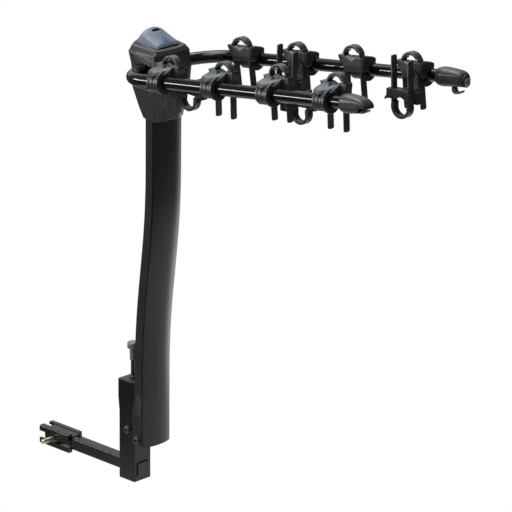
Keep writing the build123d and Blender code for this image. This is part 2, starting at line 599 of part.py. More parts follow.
def strap(zc, top_clear, ends, w0, w1, hole):
    """Strap: an arch with a shaped hole on two straight legs."""
    arch = (cyl_y(0, zc, STRAP_R, w0, w1) & boxx(-60, 60, w0, w1, top_clear, 200)) - prism_y(hole, w0 - 1, w1 + 1)
    for s, end in zip((-1, 1), ends):
        x0, x1 = sorted((s * (LEG_X - STRAP_T / 2), s * (LEG_X + STRAP_T / 2)))
        arch += boxx(x0, x1, w0, w1, end, top_clear + 0.5)
    return arch


crs = {-1: cradle(False), 1: cradle(True)}
cr, pd = crs[-1], pad()
HOLE = [(0, STRAP_ZC + 18.5), (LEG_X - 2, STRAP_ZC - 1), (LEG_X - 2, -90), (2 - LEG_X, -90), (2 - LEG_X, STRAP_ZC - 1)]
main_strap = strap(STRAP_ZC, 43.4, (LEG_BOTTOM, LEG_BOTTOM), STRAP_Y0, STRAP_Y1, HOLE)
print("cradle", cr.volume, len(cr.solids()), "pad", pd.volume, len(pd.solids()), "strap", main_strap.volume, len(main_strap.solids()))
SIDES = {"left": -1, "right": 1}
LEAN = {"left": LEAN_L, "right": LEAN_R}
LIFT = {"left": STRAP_LIFT_L, "right": STRAP_LIFT_R}
SWAY = [("left", 0), ("left", 2), ("right", 1), ("right", 3)]


def sway_frame():
    """Hanging frame: link plate, pivot pin into the saddle, lower saddle."""
    zt, zb = -18.0, -43.0
    f = prism_y([(4, 24), (20, 24), (34, 8), (38, -20), (38, -44), (20, -44), (14, -20), (2, 4)], 49.0, 54.0)
    f += prism_y([(-32, -49), (-30, -40), (-25, -36), (-25, -20), (-22, zt), (44, zt), (46, -20), (46, -40), (44, zb), (-26, zb)], 53.0, 99.5)
    f += boxx(30, 54, 53.0, 78.0, -54, -24)
    # the lower saddle is open between the link plate and the strap
    f -= prism_y([(-40, -60), (-40, -5), (12, -5), (12, -60)], 48.0, 76.0)
    f -= prism_y([(SWAY_X - 18.3, zb - 12), (SWAY_X - 18.3, zb - 1), (SWAY_X, zb + 8), (SWAY_X + 18.3, zb - 1), (SWAY_X + 18.3, zb - 12)], 80.4, 110.0)
    f += cyl_y(SWAY_PIV_X, SWAY_PIV_Z, 5.0, 36.6, 50.0) + cyl_y(SWAY_PIV_X, SWAY_PIV_Z, 9.5, 48.5, 57.0)
    for s in (-1, 1):
        xc = SWAY_X + s * LEG_X
        f -= boxx(xc - 2.35, xc + 2.35, SWAY_Y - 9.4, SWAY_Y + 9.4, -80, 20)
    return f


sf = sway_frame()
RING = [(0, -SWAY_ZC + 16.5), (18.3, -SWAY_ZC + 1), (18.3, 30), (-18.3, 30), (-18.3, -SWAY_ZC + 1)]
# on the left arm the frame faces the other way along the arm and the strap's end is shorter
turn = Plane((SWAY_X, 0, 0), x_dir=(0, 1, 0), z_dir=(1, 0, 0))
sfs = {"right": sf, "left": sf.mirror(turn)}
sss = {}
for name, ends in (("right", (-62.0, -53.0)), ("left", (-14.0, 2.0))):
    ss = strap(-SWAY_ZC, 49.6, ends, SWAY_Y - 9, SWAY_Y + 9, RING)
    sss[name] = Pos(SWAY_X, 0, 0) * ss.mirror(Plane.XY)
PIV_AT = {"right": SWAY_PIV_X, "left": 2 * SWAY_X - SWAY_PIV_X}
print("sway frame", sf.volume, len(sf.solids()), "sway strap", ss.volume, len(ss.solids()))

pads = {"left": [], "right": []}
for name, side in SIDES.items():
    for k in range(4):
        s = ST1 + k * PITCH
        tip = Pos(STRAP_X, 0, 0) * Rot(0, LEAN[name][k], 0)
        body = crs[side] - tip * slots
        if (name, k) in SWAY:
            a = SWAY_LEAN[(name, k)]
            px = PIV_AT[name]
            lean = Pos(px, 0, SWAY_PIV_Z) * Rot(0, a, 0) * Pos(-px, 0, -SWAY_PIV_Z)
            body = body - cyl_y(px, SWAY_PIV_Z, 5.06, 36.0, 70.0)
        keep(f"cradle_{name}_{k + 1}", place(body, side, s))
        pads[name] += place(pd, side, s).solids()
        keep(f"strap_{name}_{k + 1}", place(tip * Pos(0, 0, LIFT[name][k]) * main_strap, side, s))
        if (name, k) in SWAY:
            keep(f"antisway_frame_{name}_{k + 1}", place(lean * sfs[name], side, s))
            keep(f"antisway_strap_{name}_{k + 1}", place(lean * sss[name], side, s))
    keep(f"cradle_pads_{name}", Compound(children=pads[name]))


# ---- arm end caps ----------------------------------------------------------
def rr(x, hy, hz, dz, r):
    return Plane((x, 0, dz), x_dir=(0, 1, 0), z_dir=(1, 0, 0)) * RectangleRounded(2 * hy, 2 * hz, r)


def cap_left():
    c = loft([rr(0, 20.4, 20.4, 0, 17), rr(5, 21.8, 21.8, 0, 18), rr(36, 21.6, 20.2, -0.5, 14), rr(56, 20.2, 16.4, -2.0, 10), rr(76, 16.6, 6.0, -7.5, 4.5)], ruled=False)
    c -= cyl_x(0, 0, TUBE_R + 0.02, -10, 46.3)
    # opener mouth under the bill
    c -= prism_y([(52, -40), (52, -15.0), (56, -9.0), (63, -7.0), (70, -8.0), (77, -11.5), (77, -40)], -40, 40)
    c += prism_y([(48, -18.2), (48, -13.5), (62, -14.5), (68, -13.0), (69, -15.0), (66, -18.2)], -12, 12)
    return c


def cap_right():
    c = loft([rr(0, 20.4, 20.4, 0, 17), rr(5, 21.8, 21.8, 0, 18), rr(46, 21.4, 20.0, -1.0, 14), rr(68, 19.4, 16.6, -3.8, 11), rr(78, 16.4, 13.0, -6.8, 10)], ruled=False)
    c -= cyl_x(0, 0, TUBE_R + 0.02, -10, 46.3)
    c += cyl_x(0, -9.0, 13.4, 58, 81.5)
    c -= cyl_x(0, -9.0, 10.52, 50, 100)
    c += boxx(38, 46, -6, 6, -27, -17)
    return c


S_CAP = ST1 + 3 * PITCH + CAP_S
cl, crt = cap_left(), cap_right()
keep("end_cap_left", place(cl, -1, S_CAP))
keep("end_cap_right", place(crt, 1, S_CAP))
core = cyl_x(0, -9.0, 10.45, 50.2, 84.5)
core = chamfer(core.edges().group_by(Axis.X)[-1], 1.0)
core -= boxx(80, 90, -1.3, 1.3, -14.2, -3.8)
keep("lock_core", place(core, 1, S_CAP))
hook = prism_y([(38, -27.1), (38, -33), (44, -39), (58, -39), (66, -36), (68, -31), (64, -31), (60, -34), (48, -34), (47, -27.1)], -7, 7)
keep("cable_hook", place(hook, 1, S_CAP))

print("nodes", len(NODES))
# positions that the joints use, in metres
for name, side in SIDES.items():
    for k in range(4):
        x_dir = Vector(U.X * math.cos(sp_), side * math.sin(sp_), U.Z * math.cos(sp_))
        o = Vector(*plane_pt(ST1 + k * PITCH, side * arm_y(ST1 + k * PITCH)))
        print(name, k + 1, [round(v / 1000, 6) for v in o], "x", [round(v, 6) for v in x_dir])
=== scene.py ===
import json
import math
import bpy
import numpy as np
from mathutils import Matrix, Vector


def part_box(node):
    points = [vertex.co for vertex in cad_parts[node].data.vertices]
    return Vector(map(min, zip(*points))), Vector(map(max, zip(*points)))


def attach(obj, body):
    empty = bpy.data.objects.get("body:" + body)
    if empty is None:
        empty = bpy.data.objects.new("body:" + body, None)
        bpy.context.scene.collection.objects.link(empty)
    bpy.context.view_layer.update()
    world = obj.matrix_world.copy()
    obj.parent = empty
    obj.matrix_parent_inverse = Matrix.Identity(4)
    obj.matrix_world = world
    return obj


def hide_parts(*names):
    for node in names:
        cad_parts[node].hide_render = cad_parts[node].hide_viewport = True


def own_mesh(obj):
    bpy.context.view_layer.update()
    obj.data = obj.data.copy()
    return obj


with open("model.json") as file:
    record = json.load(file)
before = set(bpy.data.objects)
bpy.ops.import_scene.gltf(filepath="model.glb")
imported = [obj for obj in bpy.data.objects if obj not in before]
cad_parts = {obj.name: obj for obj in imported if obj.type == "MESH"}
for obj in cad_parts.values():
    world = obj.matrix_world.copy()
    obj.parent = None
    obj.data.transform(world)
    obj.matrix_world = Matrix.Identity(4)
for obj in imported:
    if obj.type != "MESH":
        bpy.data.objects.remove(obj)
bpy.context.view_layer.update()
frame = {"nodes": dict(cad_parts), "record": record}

# ---- camera ----------------------------------------------------------------
cam_data = bpy.data.cameras.new("camera")
cam = bpy.data.objects.new("camera", cam_data)
bpy.context.scene.collection.objects.link(cam)
cam_data.sensor_fit = "HORIZONTAL"
cam_data.sensor_width = 36.0
cam_data.lens = 243.17
cam_data.clip_start = 0.1
cam_data.clip_end = 60.0
R = Vector((0.719488, 0.694419, 0.010920))
Uv = Vector((-0.228285, 0.221618, 0.948036))
B = Vector((0.655913, -0.684593, 0.317977))
m = Matrix.Identity(4)
for i in range(3):
    m[i][0], m[i][1], m[i][2] = R[i], Uv[i], B[i]
m[0][3], m[1][3], m[2][3] = 6.289108, -5.817288, 3.378402
cam.matrix_world = m
bpy.context.scene.camera = cam


# ---- materials -------------------------------------------------------------
def material(name, base, rough, metallic=0.0, spec=0.5, bump=0.0, scale=400.0, vary=0.0, coat=0.0, rough_vary=0.06, wave=0.0, scuff=0.0):
    mt = bpy.data.materials.new(name)
    mt.use_nodes = True
    nt = mt.node_tree
    bs = nt.nodes["Principled BSDF"]
    bs.inputs["Base Color"].default_value = (*base, 1)
    bs.inputs["Metallic"].default_value = metallic
    bs.inputs["Roughness"].default_value = rough
    bs.inputs["Specular IOR Level"].default_value = spec
    if coat:
        bs.inputs["Coat Weight"].default_value = coat
        bs.inputs["Coat Roughness"].default_value = 0.06
    tc = nt.nodes.new("ShaderNodeTexCoord")
    big = nt.nodes.new("ShaderNodeTexNoise")
    big.inputs["Scale"].default_value = 14.0
    big.inputs["Detail"].default_value = 5.0
    nt.links.new(tc.outputs["Object"], big.inputs["Vector"])
    rr = nt.nodes.new("ShaderNodeMapRange")
    rr.inputs["From Min"].default_value = 0.3
    rr.inputs["From Max"].default_value = 0.7
    rr.inputs["To Min"].default_value = max(0.02, rough - rough_vary)
    rr.inputs["To Max"].default_value = rough + rough_vary
    nt.links.new(big.outputs["Fac"], rr.inputs["Value"])
    nt.links.new(rr.outputs["Result"], bs.inputs["Roughness"])
    col = None
    if vary:
        mix = nt.nodes.new("ShaderNodeMix")
        mix.data_type = "RGBA"
        mix.inputs["A"].default_value = (*[c * (1 - vary) for c in base], 1)
        mix.inputs["B"].default_value = (*[min(1, c * (1 + vary)) for c in base], 1)
        nt.links.new(big.outputs["Fac"], mix.inputs["Factor"])
        col = mix.outputs["Result"]
    if scuff:
        # a little dust and rub that gathers where fine noise peaks
        fn = nt.nodes.new("ShaderNodeTexNoise")
        fn.inputs["Scale"].default_value = 70.0
        fn.inputs["Detail"].default_value = 8.0
        nt.links.new(tc.outputs["Object"], fn.inputs["Vector"])
        fr = nt.nodes.new("ShaderNodeMapRange")
        fr.inputs["From Min"].default_value = 0.52
        fr.inputs["From Max"].default_value = 0.75
        fr.inputs["To Max"].default_value = scuff
        nt.links.new(fn.outputs["Fac"], fr.inputs["Value"])
        mx = nt.nodes.new("ShaderNodeMix")
        mx.data_type = "RGBA"
        mx.inputs["A"].default_value = (*base, 1)
        if col is not None:
            nt.links.new(col, mx.inputs["A"])
        mx.inputs["B"].default_value = (*[min(1.0, c * 2.2 + 0.02) for c in base], 1)
        nt.links.new(fr.outputs["Result"], mx.inputs["Factor"])
        col = mx.outputs["Result"]
    if col is not None:
        nt.links.new(col, bs.inputs["Base Color"])
    if bump:
        fine = nt.nodes.new("ShaderNodeTexNoise")
        fine.inputs["Scale"].default_value = scale
        fine.inputs["Detail"].default_value = 3.0
        nt.links.new(tc.outputs["Object"], fine.inputs["Vector"])
        height = fine.outputs["Fac"]
        if wave:
            wv = nt.nodes.new("ShaderNodeTexWave")
            wv.inputs["Scale"].default_value = wave
            wv.bands_direction = "Z"
            nt.links.new(tc.outputs["Object"], wv.inputs["Vector"])
            ad = nt.nodes.new("ShaderNodeMath")
            ad.operation = "ADD"
            nt.links.new(fine.outputs["Fac"], ad.inputs[0])
            nt.links.new(wv.outputs["Fac"], ad.inputs[1])
            height = ad.outputs[0]
        bp = nt.nodes.new("ShaderNodeBump")
        bp.inputs["Strength"].default_value = bump
        bp.inputs["Distance"].default_value = 0.0003
        nt.links.new(height, bp.inputs["Height"])
        nt.links.new(bp.outputs["Normal"], bs.inputs["Normal"])
    return mt


MATS = {
    "gloss_black": material("gloss_black", (0.004, 0.0041, 0.004), 0.2, spec=0.45, bump=0.006, scale=180, vary=0.2, rough_vary=0.03),
    "tube_black": material("tube_black", (0.0035, 0.0035, 0.0036), 0.12, spec=0.4, bump=0.0006, scale=60, vary=0.2, rough_vary=0.012),
    "satin_black": material("satin_black", (0.0085, 0.0083, 0.0082), 0.3, spec=0.5, bump=0.05, scale=500, vary=0.15, rough_vary=0.03),
    "yellow_zinc": material("yellow_zinc", (0.66, 0.61, 0.47), 0.34, metallic=1.0, bump=0.1, scale=500, vary=0.22),
    "olive_zinc": material("olive_zinc", (0.085, 0.082, 0.036), 0.32, metallic=0.8, bump=0.1, scale=500, vary=0.25),
    "zinc": material("zinc", (0.42, 0.42, 0.43), 0.33, metallic=1.0, bump=0.1, scale=600, vary=0.2),
    "black_zinc": material("black_zinc", (0.07, 0.07, 0.072), 0.33, metallic=0.6, bump=0.08, scale=600, vary=0.25),
    "spring_steel": material("spring_steel", (0.3, 0.3, 0.31), 0.35, metallic=1.0, bump=0.1, scale=900, vary=0.2),
    "black_plastic": material("black_plastic", (0.025, 0.025, 0.0245), 0.36, spec=0.42, bump=0.08, scale=900, vary=0.12, scuff=0.08),
    "casing_plastic": material("casing_plastic", (0.024, 0.0237, 0.0228), 0.36, spec=0.5, bump=0.08, scale=900, vary=0.08, scuff=0.05),
    "grey_plastic": material("grey_plastic", (0.112, 0.13, 0.168), 0.38, spec=0.5, bump=0.06, scale=900, vary=0.05, scuff=0.05),
    "knob_plastic": material("knob_plastic", (0.12, 0.128, 0.138), 0.3, spec=0.5, bump=0.06, scale=900, vary=0.06),
    "strap_rubber": material("strap_rubber", (0.021, 0.021, 0.0204), 0.4, spec=0.42, bump=0.08, scale=900, vary=0.12, scuff=0.08),
    "pad_rubber": material("pad_rubber", (0.22, 0.225, 0.235), 0.5, spec=0.4, bump=0.1, scale=900, vary=0.12, scuff=0.1),
    "bush_nylon": material("bush_nylon", (0.03, 0.03, 0.03), 0.5, bump=0.1, vary=0.15),
}
slot_of = {s["node"]: s["material_slot"] for s in frame["record"]["subparts"]}
DARK_BOLTS = ("base_bolt", "base_bolt_hardware", "pivot_bolt", "pivot_bolt_hardware", "head_bracket_bolts", "casing_screws")
for name, ob in frame["nodes"].items():
    ob.data.materials.clear()
    own = {"arm_tube": "tube_black", "lock_rod": "olive_zinc"}
    ob.data.materials.append(MATS["black_zinc" if name in DARK_BOLTS else own.get(name, slot_of[name])])


# ---- frames on the arms, as in the CAD (local x along the arm, y inwards, z up; mm) ----
TILT, SPLAY = math.radians(7.15), math.radians(0.63)
ARM_A, ST1, PITCH, CAP_S = 159.9, 156.8, 185.3, 57.8
Uu = Vector((math.cos(TILT), 0, math.sin(TILT)))
Nn = Vector((-math.sin(TILT), 0, math.cos(TILT)))


def arm_matrix(side, s):
    """4x4 that takes local millimetres to world metres."""
    x = Vector((Uu.x * math.cos(SPLAY), side * math.sin(SPLAY), Uu.z * math.cos(SPLAY)))
    y = Nn.cross(x) * (1 if side < 0 else -1)
    y.normalize()
    a = ARM_A + (s - ST1) * math.tan(SPLAY)
    o = Vector((387.0 + s * Uu.x, side * a, 1095.0 + s * Uu.z))
    mm = np.eye(4)
    for i in range(3):
        mm[i, 0], mm[i, 1], mm[i, 2], mm[i, 3] = x[i] / 1000, y[i] / 1000, Nn[i] / 1000, o[i] / 1000
    return mm


def turn_y(deg, px, pz):
    """4x4 turn about the local y axis through (px, pz), in mm."""
    a = math.radians(deg)
    t = np.eye(4)
    t[0, 0], t[0, 2], t[2, 0], t[2, 2] = math.cos(a), math.sin(a), -math.sin(a), math.cos(a)
    t[0, 3] = px - px * math.cos(a) - pz * math.sin(a)
    t[2, 3] = pz + px * math.sin(a) - pz * math.cos(a)
    return t


LIFT = {"left": [0.0, -1.0, 6.0, 0.0], "right": [0.0, -1.0, 4.5, 0.5]}
LEAN = {"left": [9.0, 4.5, 1.5, 4.0], "right": [-2.5, 0.0, 0.0, 0.0]}
SWAY_LEAN = {("left", 0): 11.0, ("left", 2): 4.5, ("right", 1): 8.5, ("right", 3): 4.5}
STRAP_R, STRAP_ZC, LEG_X, STRAP_X = 28.5, 33.0, 25.3, 3.5
SWAY_X, SWAY_Y, SWAY_ZC = 18.0, 90.0, -60.0
PIV = {"right": 15.5, "left": 20.5}
body_of = {}
for b, members in frame["record"]["behaviour"]["bodies"].items():
    for n in members:
        body_of[n] = b


# ---- mesh helpers ------------------------------------------------------------
def step(a, lo, hi):
    t = np.clip((a - lo) / (hi - lo), 0, 1)
    return t * t * (3 - 2 * t)


def get_co(me):
    co = np.empty(len(me.vertices) * 3)
    me.vertices.foreach_get("co", co)
    return co.reshape(-1, 3)


def set_co(me, co):
    me.vertices.foreach_set("co", co.ravel())
    me.update()


def shape(me, mm, fn):
    """Runs fn on the vertices in the local frame mm (mm), and writes them back."""
    co = get_co(me)
    inv = np.linalg.inv(mm)
    l = co @ inv[:3, :3].T + inv[:3, 3]
    l = fn(l)
    set_co(me, l @ mm[:3, :3].T + mm[:3, 3])


def evaluated(ob):
    dg = bpy.context.evaluated_depsgraph_get()
    me = bpy.data.meshes.new_from_object(ob.evaluated_get(dg))
    old = ob.data
    ob.modifiers.clear()
    ob.data = me
    if old.users == 0:
        bpy.data.meshes.remove(old)
    return ob


def moulded(node, voxel, smooth, ratio=0.0, also=()):
    """A piece made from the CAD node's mesh, remeshed so that its edges are moulded round."""
    src = frame["nodes"][node]
    me = src.data.copy()
    me.name = node + "_visual"
    if also:
        import bmesh

        bm = bmesh.new()
        bm.from_mesh(me)
        for n in also:
            bm.from_mesh(frame["nodes"][n].data)
        bm.to_mesh(me)
        bm.free()
    ob = bpy.data.objects.new(node + "_visual", me)
    bpy.context.scene.collection.objects.link(ob)
    w = ob.modifiers.new("weld", "WELD")
    w.merge_threshold = 0.00001
    r = ob.modifiers.new("remesh", "REMESH")
    r.mode = "VOXEL"
    r.voxel_size = voxel / 1000
    s = ob.modifiers.new("smooth", "SMOOTH")
    s.factor = 0.5
    s.iterations = smooth
    if ratio:
        d = ob.modifiers.new("dec", "DECIMATE")
        d.ratio = ratio
    evaluated(ob)
    return ob


def crisp(node, width, planes=(), fn=None, mm=None, limit=40.0, mid=None, across=()):
    """A piece made from the CAD node's mesh, with its edges bevelled and, where asked, cut by
    local planes across y and moved by fn."""
    import bmesh

    bm = bmesh.new()
    bm.from_mesh(frame["nodes"][node].data)
    bmesh.ops.remove_doubles(bm, verts=bm.verts, dist=0.00001)
    bmesh.ops.dissolve_limit(bm, angle_limit=math.radians(0.6), verts=bm.verts, edges=bm.edges)
    if mid is not None:
        # the corners of a strap's leg ends are round
        inv = np.linalg.inv(mm)
        low = []
        for e in bm.edges:
            p = [(inv @ np.array([*v.co, 1.0]))[:3] for v in e.verts]
            if all(abs(abs(q[1] - mid) - 9.0) < 0.2 for q in p) and abs(p[0][2] - p[1][2]) < 0.05 and abs(p[0][0] - p[1][0]) > 3.0 and p[0][2] < 0.0:
                low.append(e)
        bmesh.ops.bevel(bm, geom=low, offset=0.0045, offset_type="OFFSET", segments=5, profile=0.5, affect="EDGES")
    if planes:
        o3, n3 = mm[:3, 3], mm[:3, 1] / np.linalg.norm(mm[:3, 1])
        for y in planes:
            at = (mm @ np.array([0.0, y, 0.0, 1.0]))[:3]
            bmesh.ops.bisect_plane(bm, geom=list(bm.verts) + list(bm.edges) + list(bm.faces), dist=1e-7, plane_co=at, plane_no=n3)
        m3 = mm[:3, 0] / np.linalg.norm(mm[:3, 0])
        for x in across:
            at = (mm @ np.array([x, 0.0, 0.0, 1.0]))[:3]
            bmesh.ops.bisect_plane(bm, geom=list(bm.verts) + list(bm.edges) + list(bm.faces), dist=1e-7, plane_co=at, plane_no=m3)
    me = bpy.data.meshes.new(node + "_visual")
    bm.to_mesh(me)
    bm.free()
    ob = bpy.data.objects.new(me.name, me)
    bpy.context.scene.collection.objects.link(ob)
    if fn is not None:
        shape(me, mm, fn)
    bv = ob.modifiers.new("bevel", "BEVEL")
    bv.width = width / 1000
    bv.segments = 2
    bv.limit_method = "ANGLE"
    bv.angle_limit = math.radians(limit)
    bv.harden_normals = False
    evaluated(ob)
    return ob


def inside(ob, node, also=()):
    """Keeps the piece inside the box of the node and of those that go with it."""
    boxes = [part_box(n) for n in (node, *also)]
    lo = [min(b[0][i] for b in boxes) for i in range(3)]
    hi = [max(b[1][i] for b in boxes) for i in range(3)]
    co = get_co(ob.data)
    set_co(ob.data, np.minimum(np.maximum(co, np.array(lo)), np.array(hi)))


def take(ob, node, mat=None, also=(), sharp=0.0):
    inside(ob, node, also)
    ob.data.materials.clear()
    ob.data.materials.append(mat or MATS[slot_of[node]])
    ob.data.polygons.foreach_set("use_smooth", [True] * len(ob.data.polygons))
    if sharp:
        ob.data.set_sharp_from_angle(angle=math.radians(sharp))
    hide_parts(node, *also)
    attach(ob, body_of[node])


# ---- cradles, straps, anti-sway units -----------------------------------------
def wing_shape(l):
    """The thumb ramps of the right arm's cradles fall away round towards the arm's end."""
    x, y, z = l[:, 0], l[:, 1], l[:, 2]
    f = step(-y, -25.5, -22.5) * np.clip((z - 13.0) / 24.0, 0, 1.2)
    l[:, 2] = z - f * (0.015 * np.clip(x - 3.0, 0, 40) ** 2 + 0.02 * np.clip(-14.0 - x, 0, 40) ** 2)
    return cradle_shape(l)


def cradle_shape(l):
    x, y, z = l[:, 0].copy(), l[:, 1].copy(), l[:, 2].copy()
    # the saddle's inner face has a crease at half height and leans back below it
    f = step(y, 44.5, 47.5)
    low = np.clip(15.0 - z, 0, 16) * 0.24
    side_in = np.clip(-20.0 - x, 0, 25) * 0.30 + np.clip(x - 34.0, 0, 20) * 0.35
    l[:, 1] = y - f * (low + side_in)
    return l


def strap_shape(zc, mid):
    def fn(l):
        x, y, z = l[:, 0].copy(), l[:, 1].copy(), l[:, 2].copy()
        gr = np.clip(1.0 - np.abs(np.abs(y - mid) - 3.4) / 0.8, 0, 1)
        r = np.hypot(x, z - zc)
        out = (z > zc - 1) & (r > STRAP_R - 1.0)
        # the opening is round, so that the band is as thick all the way over
        rin = STRAP_R - BAND
        hole = (z > zc - 0.5) & (r < rin)
        ang = np.arctan2(np.maximum(z - zc, 0.0), x)
        l[:, 0] = np.where(hole, rin * np.cos(ang), x)
        l[:, 2] = np.where(hole, zc + rin * np.sin(ang), z)
        x, z = l[:, 0].copy(), l[:, 2].copy()
        r = np.hypot(x, z - zc)
        k = np.where(out, (r - 0.8 * gr) / np.maximum(r, 1e-6), 1.0)
        leg = (z <= zc - 1) & (np.abs(x) > LEG_X + 1.2)
        l[:, 0] = np.where(out, x * k, np.where(leg, x - np.sign(x) * 0.6 * gr, x))
        l[:, 2] = np.where(out, zc + (z - zc) * k, z)
        return l

    return fn


GROOVE = (-4.2, -3.4, -2.6, 2.6, 3.4, 4.2)
BAND = 7.4
STEPS = tuple(float(v) for v in range(-20, 21, 2))
VO = 1.0
for name, side in (("left", -1), ("right", 1)):
    for k in range(4):
        mm = arm_matrix(side, ST1 + k * PITCH)
        node = f"cradle_{name}_{k + 1}"
        ob = moulded(node, 1.0 * VO, 2)
        shape(ob.data, mm, cradle_shape if side < 0 else wing_shape)
        take(ob, node)
        node = f"strap_{name}_{k + 1}"
        t = turn_y(LEAN[name][k], 0, 0)
        move = np.eye(4); move[0, 3] = STRAP_X
        up = np.eye(4); up[2, 3] = LIFT[name][k]
        ob = crisp(node, 0.9, [35.0 + g for g in GROOVE], strap_shape(STRAP_ZC, 35.0), mm @ move @ t @ up, limit=55, mid=35.0, across=STEPS)
        take(ob, node, sharp=40)
        if (name, k) in SWAY_LEAN:
            px = PIV[name]
            t = turn_y(SWAY_LEAN[(name, k)], px, 14.0)
            flip = np.diag([1.0, 1.0, -1.0, 1.0])
            move = np.eye(4); move[0, 3] = SWAY_X
            node = f"antisway_strap_{name}_{k + 1}"
            ob = crisp(node, 0.9, [SWAY_Y + g for g in GROOVE], strap_shape(-SWAY_ZC, SWAY_Y), mm @ t @ move @ flip, limit=55, mid=SWAY_Y, across=STEPS)
            take(ob, node, sharp=40)
            node = f"antisway_frame_{name}_{k + 1}"
            ob = moulded(node, 1.0 * VO, 2)
            take(ob, node)


# ribbed pads in the vee seats
def pads(name, side):
    import bmesh
    bm = bmesh.new()
    sx, sz = 3.0, 28.0
    k = (39.0 - 0.5 - sz) / 20.0
    ys = []
    y, n = 26.6, 0
    # profile across the pad: four ribs with grooves between
    for i in range(4):
        a = 26.4 + i * 5.2
        ys += [(a, 1.5), (a + 0.5, 2.55), (a + 3.9, 2.55), (a + 4.4, 1.5)]
    xs = np.linspace(-16.0, 16.0, 33)
    for kk in range(4):
        mm = arm_matrix(side, ST1 + kk * PITCH)
        top = []
        bot = []
        for dx in xs:
            base = sz + 0.3 + k * abs(dx)
            if dx < 0:
                base += 0.5 * (-dx) / 20.0
            soft = 0.9 * math.exp(-((dx / 3.0) ** 2))
            row_t, row_b = [], []
            for yy, h in ys:
                e = 0.6 * max(0.0, abs(dx) - 15.0)
                p = mm @ np.array([sx + dx, yy, base + (h - e) * 0.98 + soft * 0.3, 1.0])
                q = mm @ np.array([sx + dx, yy, base + 0.15, 1.0])
                row_t.append(bm.verts.new(p[:3]))
                row_b.append(bm.verts.new(q[:3]))
            top.append(row_t)
            bot.append(row_b)
        nx, ny = len(xs), len(ys)
        for i in range(nx - 1):
            for j in range(ny - 1):
                bm.faces.new((top[i][j], top[i + 1][j], top[i + 1][j + 1], top[i][j + 1]))
                bm.faces.new((bot[i][j + 1], bot[i + 1][j + 1], bot[i + 1][j], bot[i][j]))
            bm.faces.new((bot[i][0], bot[i + 1][0], top[i + 1][0], top[i][0]))
            bm.faces.new((top[i][-1], top[i + 1][-1], bot[i + 1][-1], bot[i][-1]))
        for j in range(ny - 1):
            bm.faces.new((top[0][j], top[0][j + 1], bot[0][j + 1], bot[0][j]))
            bm.faces.new((bot[-1][j], bot[-1][j + 1], top[-1][j + 1], top[-1][j]))
    bmesh.ops.recalc_face_normals(bm, faces=bm.faces)
    me = bpy.data.meshes.new(f"cradle_pads_{name}_visual")
    bm.to_mesh(me)
    bm.free()
    ob = bpy.data.objects.new(me.name, me)
    bpy.context.scene.collection.objects.link(ob)
    bv = ob.modifiers.new("bevel", "BEVEL")
    bv.width = 0.00035
    bv.segments = 2
    bv.limit_method = "ANGLE"
    bv.angle_limit = math.radians(35)
    evaluated(ob)
    take(ob, f"cradle_pads_{name}")


pads("left", -1)
pads("right", 1)


# ---- head casing, lever, caps --------------------------------------------------
def poly_dist(x, z, pts):
    """Signed distance to a polygon in x and z, negative inside."""
    p = np.stack([x, z], 1)
    n = len(pts)
    d = np.full(len(p), 1e9)
    ins = np.zeros(len(p), bool)
    for i in range(n):
        a, b = np.array(pts[i], float), np.array(pts[(i + 1) % n], float)
        e = b - a
        w = p - a
        t = np.clip((w @ e) / (e @ e), 0, 1)
        q = w - t[:, None] * e
        d = np.minimum(d, np.hypot(q[:, 0], q[:, 1]))
        c = ((a[1] > p[:, 1]) != (b[1] > p[:, 1])) & (p[:, 0] < (b[0] - a[0]) * (p[:, 1] - a[1]) / (b[1] - a[1] + 1e-12) + a[0])
        ins ^= c
    return np.where(ins, -d, d)


PANEL = [(310, 1139.0), (398, 1127.5), (407, 1119), (410, 1104), (418, 1092), (418, 1052), (400, 1050), (310, 1050)]
WORLD_MM = np.diag([0.001, 0.001, 0.001, 1.0])


def casing_shape(l):
    x, y, z = l[:, 0].copy(), l[:, 1].copy(), l[:, 2].copy()
    side = step(np.abs(y), 52.0, 58.0) * step(z, 1046, 1052)
    d = poly_dist(x, z, PANEL)
    push = 2.2 * step(d, 0.0, 2.2)
    # a scooped facet runs down from the rear of the panel to the opening's top edge
    line = (z - 1111.5) - (1137.0 - 1111.5) * (379.0 - x) / (379.0 - 331.0)
    scoop = np.clip(-line, 0, 30) * 0.16 * step(z, 1080, 1094) * (d < 2.2)
    l[:, 1] = y - np.sign(y) * side * (push + scoop)
    return l


# both halves of the casing in one piece, so that their joint stays as tight as the real one
ob = moulded("head_casing_rear", 1.3 * VO, 2, also=["head_casing_front"])
shape(ob.data, WORLD_MM, casing_shape)
take(ob, "head_casing_rear", MATS["casing_plastic"], also=["head_casing_front"])

ob = crisp("release_lever", 1.2, limit=25)
take(ob, "release_lever", sharp=35)


def cap_shape(l):
    """The bill of an end cap stays high and boxy to its front."""
    x, z = l[:, 0], l[:, 2]
    w = np.clip((z + 16.0) / 7.0, 0, 1)
    l[:, 2] = z + w * (0.7 * np.clip((x - 36.0) / 20.0, 0, 1) + 2.6 * np.clip((x - 56.0) / 20.0, 0, 1))
    return l


for node, side in (("end_cap_left", -1), ("end_cap_right", 1)):
    ob = crisp(node, 0.7, limit=50)
    shape(ob.data, arm_matrix(side, ST1 + 3 * PITCH + CAP_S), cap_shape)
    take(ob, node, sharp=40)
